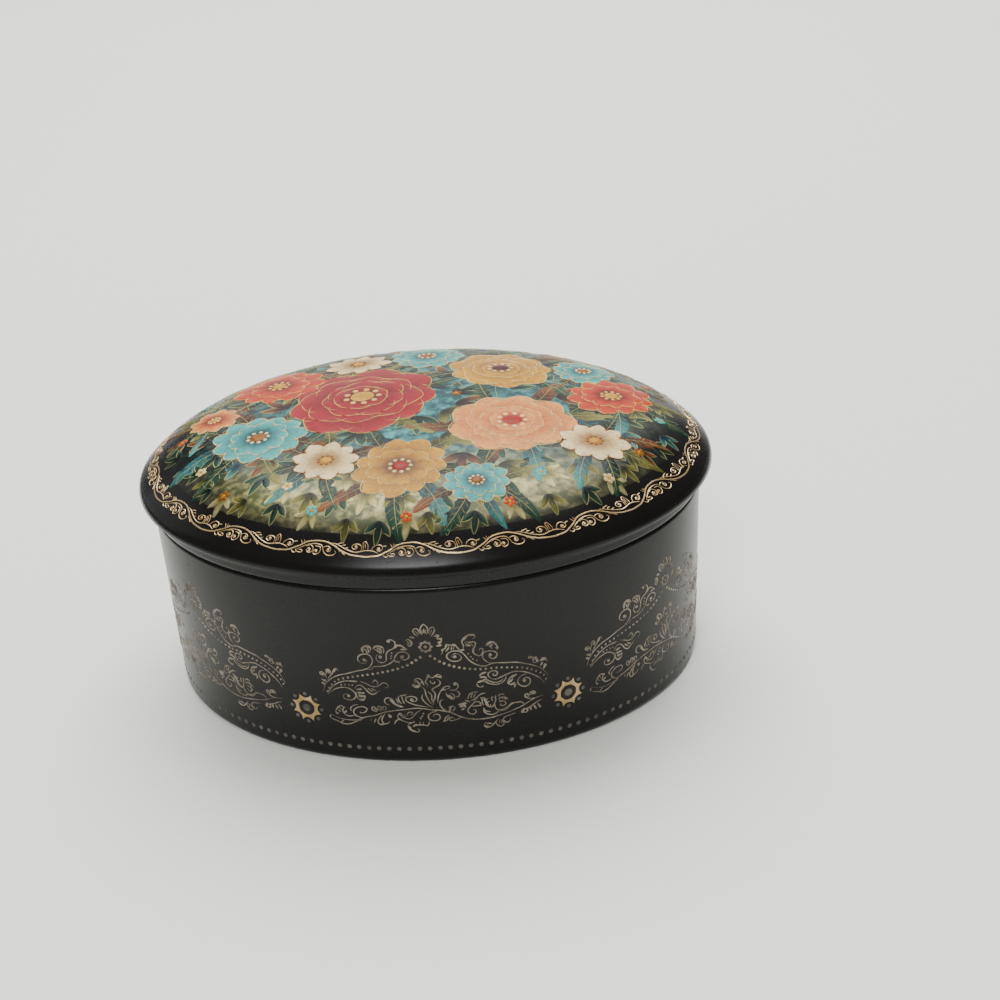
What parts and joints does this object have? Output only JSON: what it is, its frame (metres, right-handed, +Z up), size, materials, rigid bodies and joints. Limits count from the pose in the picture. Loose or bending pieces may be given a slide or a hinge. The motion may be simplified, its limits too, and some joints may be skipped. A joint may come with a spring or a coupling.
{
  "type": "music box",
  "caption": "Oval lift-off-lid porcelain music box with a domed lid and a wind-up pinned-cylinder movement.",
  "frame": {"origin": "on the table, under the middle of the box", "axes": "+X along the oval's length, -Y towards the front, +Z up"},
  "size_m": [0.088, 0.071, 0.0429],
  "materials": {
    "porcelain": "satin black glaze with gilt ornament",
    "brass": "machined and lacquered",
    "steel": "bright drawn",
    "spring_steel": "blued",
    "plated": "die-cast and nickel plated",
    "fibre": "pressed fibre",
    "clear": "clear moulded cover"
  },
  "bodies": {
    "box": {"box_body": "porcelain", "bedplate": "plated", "mounting_screws": "steel", "mounting_washers": "fibre", "spring_housing": "brass", "housing_screws": "steel", "mainspring": "spring_steel", "cylinder_bracket": "plated", "bracket_screw": "steel", "comb": "spring_steel", "comb_screws": "steel", "governor_frame": "plated", "frame_screws": "steel", "worm_cock": "plated", "lever_pin": "steel", "dust_cover": "clear"},
    "lid": {"lid": "porcelain"},
    "key": {"winding_arbor": "steel", "arbor_clip": "steel", "ratchet_wheel": "steel", "winding_key": "brass"},
    "crown": {"crown_wheel": "brass", "click": "steel"},
    "cylinder": {"melody_cylinder": "brass", "cylinder_arbor": "steel", "cylinder_pinion": "brass", "cylinder_gear": "brass"},
    "governor": {"governor_arbor": "steel", "governor_wheel": "brass"},
    "worm": {"worm_shaft": "steel", "fan": "plated"},
    "stop": {"stop_lever": "steel"}
  },
  "joints": [
    {"name": "lid_lift", "type": "slide", "parent": "box", "child": "lid", "axis": [0, 0, 1], "range_m": [0, 0.045]},
    {"name": "key_turn", "type": "hinge", "parent": "box", "child": "key", "pos_m": [-0.01486, 0.001, 0.005], "axis": [0, 0, 1], "continuous": true},
    {"name": "cylinder_turn", "type": "hinge", "parent": "box", "child": "cylinder", "pos_m": [0, 0.001, 0.024], "axis": [1, 0, 0], "continuous": true},
    {"name": "crown_turn", "type": "hinge", "parent": "box", "child": "crown", "pos_m": [-0.01486, 0.001, 0.02], "axis": [0, 0, 1], "continuous": true},
    {"name": "governor_turn", "type": "hinge", "parent": "box", "child": "governor", "pos_m": [0.02, 0.0085, 0.024], "axis": [1, 0, 0], "continuous": true},
    {"name": "worm_turn", "type": "hinge", "parent": "box", "child": "worm", "pos_m": [0.02054, 0.01525, 0.02], "axis": [0, 0, 1], "continuous": true},
    {"name": "stop_lift", "type": "hinge", "parent": "box", "child": "stop", "pos_m": [0.024, 0.002, 0.01825], "axis": [1, 0, 0], "range_deg": [0, 5], "stiffness_Nm_per_rad": 0.000027, "springref_deg": 28.65}
  ],
  "couplings": [
    {"joint": "crown_turn", "follows": "cylinder_turn", "ratio": 0.33333},
    {"joint": "governor_turn", "follows": "cylinder_turn", "ratio": -4},
    {"joint": "worm_turn", "follows": "cylinder_turn", "ratio": 120},
    {"joint": "stop_lift", "follows": "lid_lift", "rad_per_m": 1.9373}
  ]
}
